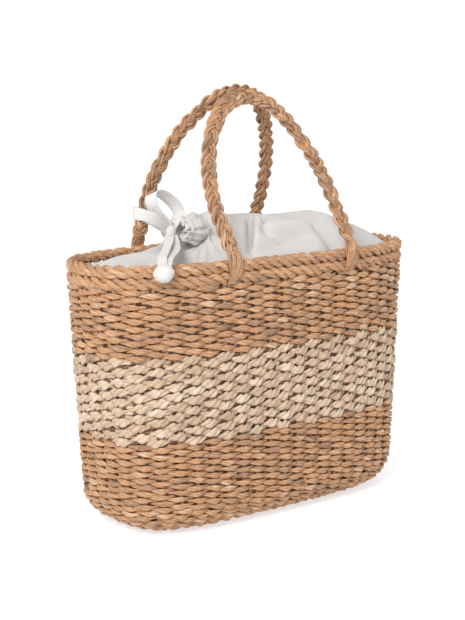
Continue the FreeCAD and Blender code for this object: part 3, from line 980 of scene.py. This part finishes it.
def crown():
    """The cloth over the opening, drawn up to the mouth and tucked down inside the rim."""
    around = 360
    radial = 100
    angles = np.linspace(0.0, 2.0 * math.pi, around, endpoint=False)
    edge = oval(*wall_size(CROWN_EDGE_Z, LINER_INSET), angles)
    heading = np.arctan2(edge[:, 1] - NECK[1], edge[:, 0] - NECK[0])
    ripple = np.cos(9.0 * heading) + 0.6 * np.cos(14.0 * heading + 1.0)
    neck = neck_ring(NECK_RADIUS * (1.0 + 0.10 * ripple), heading, np.zeros(around))
    rows = []
    for share in np.linspace(0.0, 1.0, radial):
        spread = share ** 1.25
        x = NECK[0] + (edge[:, 0] - NECK[0]) * spread
        y = NECK[1] + (edge[:, 1] - NECK[1]) * spread
        away = np.hypot(x - NECK[0], y - NECK[1])
        edge_fade = 1.0 - smooth_step((spread - 0.84) / 0.16)
        pleat = 0.0026 * ripple * np.exp(-away / 0.030) * smooth_step(away / 0.012)
        z = crown_height(x, y) + fold_height(x, y) * edge_fade + pleat
        top = np.stack([x, y, z], axis=-1)
        weight = smooth_step(away / 0.026)[:, None]
        rows.append(neck * (1.0 - weight) + top * weight)
    hem = oval(*wall_size(LINER_TOP_Z, LINER_INSET), angles)
    rows.append(np.column_stack([hem, np.full(around, LINER_TOP_Z)]))
    mesh = Mesh()
    mesh.grid(np.array(rows), np.arange(len(rows)) / 10.0, np.full(len(rows), 0.5), False, True)
    return mesh.piece("liner_crown_cloth", cotton)


def thicken(piece):
    solid = piece.modifiers.new("thickness", "SOLIDIFY")
    solid.thickness = CLOTH_THICKNESS
    solid.offset = 0.0


crown_cloth = crown()
thicken(crown_cloth)
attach(crown_cloth, "basket")
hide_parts("liner_crown")


def frill():
    """The gathered hem: a casing bunched in pleats, drawn together at the mouth and tucked in."""
    around = 200
    angles = np.linspace(0.0, 2.0 * math.pi, around, endpoint=False)
    wave = (
        0.8 * np.cos(7.0 * angles + 0.6) + 0.5 * np.cos(12.0 * angles + 2.0)
        + 0.35 * np.cos(3.0 * angles))
    places = np.array([
        -0.003, 0.000, 0.005, 0.010, 0.015, 0.020, 0.024, 0.027, 0.0275, 0.026, 0.021, 0.015])
    radii = np.array([
        0.0128, 0.0136, 0.0142, 0.0150, 0.0132, 0.0108, 0.0104, 0.0098, 0.0080, 0.0060, 0.0040,
        0.0008])
    depths = np.array([0.6, 1.0, 1.5, 1.9, 2.0, 1.7, 2.1, 2.3, 1.8, 1.4, 0.9, 0.1]) * 0.001
    rows = []
    for step in np.linspace(0.0, len(places) - 1.0, 56):
        along = np.interp(step, np.arange(len(places)), places)
        radius = np.interp(step, np.arange(len(places)), radii)
        depth = np.interp(step, np.arange(len(places)), depths)
        twist = 0.16 * np.sin(7.0 * angles + 1.9) * along / 0.027
        stitch = -0.0005 * math.exp(-(((along - 0.0065) / 0.0012) ** 2))
        ragged = along + 0.0016 * np.cos(5.0 * angles + 1.0) * smooth_step(along / 0.027)
        rows.append(neck_ring(radius + depth * wave + stitch, angles + twist, ragged))
    mesh = Mesh()
    mesh.grid(np.array(rows), np.arange(len(rows)) / 10.0, np.full(len(rows), 0.5), False, True)
    return mesh.piece("liner_frill_cloth", cotton)


frill_cloth = frill()
thicken(frill_cloth)
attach(frill_cloth, "basket")
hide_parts("liner_frill")

CINCH_STEPS = 60
CINCH_RADIUS = 0.0112
CINCH_PLACE = 0.0205          # along the gather from the neck
CINCH_HALF_WIDTH = 0.0030
CINCH_HALF_DEPTH = 0.0010
cinch_mesh = Mesh()
cinch_angles = np.linspace(0.0, 2.0 * math.pi, CINCH_STEPS, endpoint=False)
cinch_out = NECK_OVER * np.cos(cinch_angles)[:, None] + NECK_ASIDE * np.sin(cinch_angles)[:, None]
cinch_radii = CINCH_RADIUS + 0.0006 * np.cos(5.0 * cinch_angles)
cinch_centres = neck_ring(cinch_radii, cinch_angles, np.full(CINCH_STEPS, CINCH_PLACE))
cinch_along = np.tile(NECK_DIRECTION, (CINCH_STEPS, 1))
tube(
    cinch_mesh, cinch_centres, cinch_out, cinch_along, np.full(CINCH_STEPS, CINCH_HALF_DEPTH),
    np.full(CINCH_STEPS, CINCH_HALF_WIDTH), cinch_angles * 0.01, np.full(CINCH_STEPS, 0.5), 8, True)
cinch = cinch_mesh.piece("tape_cinch", tape_cotton)
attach(cinch, "basket")
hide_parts("drawstring_cinch")


def bag():
    """The hanging part of the liner: sides and bottom, with slack that shows as shallow folds."""
    around = 240
    angles = np.linspace(0.0, 2.0 * math.pi, around, endpoint=False)
    rows = []
    clear = 0.0008
    for height in np.linspace(LINER_TOP_Z, CORNER_RADIUS, 26):
        size = wall_size(height, LINER_INSET)
        depth = np.sin(math.pi * (LINER_TOP_Z - height) / (LINER_TOP_Z - CORNER_RADIUS))
        slack = 1.0 - 0.010 * depth * (1.0 + np.cos(14.0 * angles + 3.0 * depth))
        rows.append(np.column_stack([oval(*size, angles) * slack[:, None], np.full(around, height)]))
    for turn in np.linspace(0.0, math.pi / 2.0, 9)[1:]:
        radius = CORNER_RADIUS - LINER_INSET
        z = CORNER_RADIUS - radius * math.sin(turn)
        size = wall_size(max(z, 0.0), LINER_INSET + radius * (1.0 - math.cos(turn)))
        rows.append(np.column_stack([oval(*size, angles), np.full(around, z - clear)]))
    bottom = rows[-1]
    for share in (0.75, 0.5, 0.25, 0.02):
        rows.append(bottom * np.array([share, share, 1.0]))
    mesh = Mesh()
    mesh.grid(np.array(rows)[::-1], np.arange(len(rows)) / 10.0, np.full(len(rows), 0.5), False, True)
    return mesh.piece("liner_bag_cloth", cotton)


bag_cloth = bag()
thicken(bag_cloth)
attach(bag_cloth, "basket")
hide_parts("liner_bag")

# ---- stakes keep their CAD shape ----
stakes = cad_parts["side_stakes"]
stakes.data.materials.clear()
stakes.data.materials.append(cane)

bpy.context.view_layer.update()
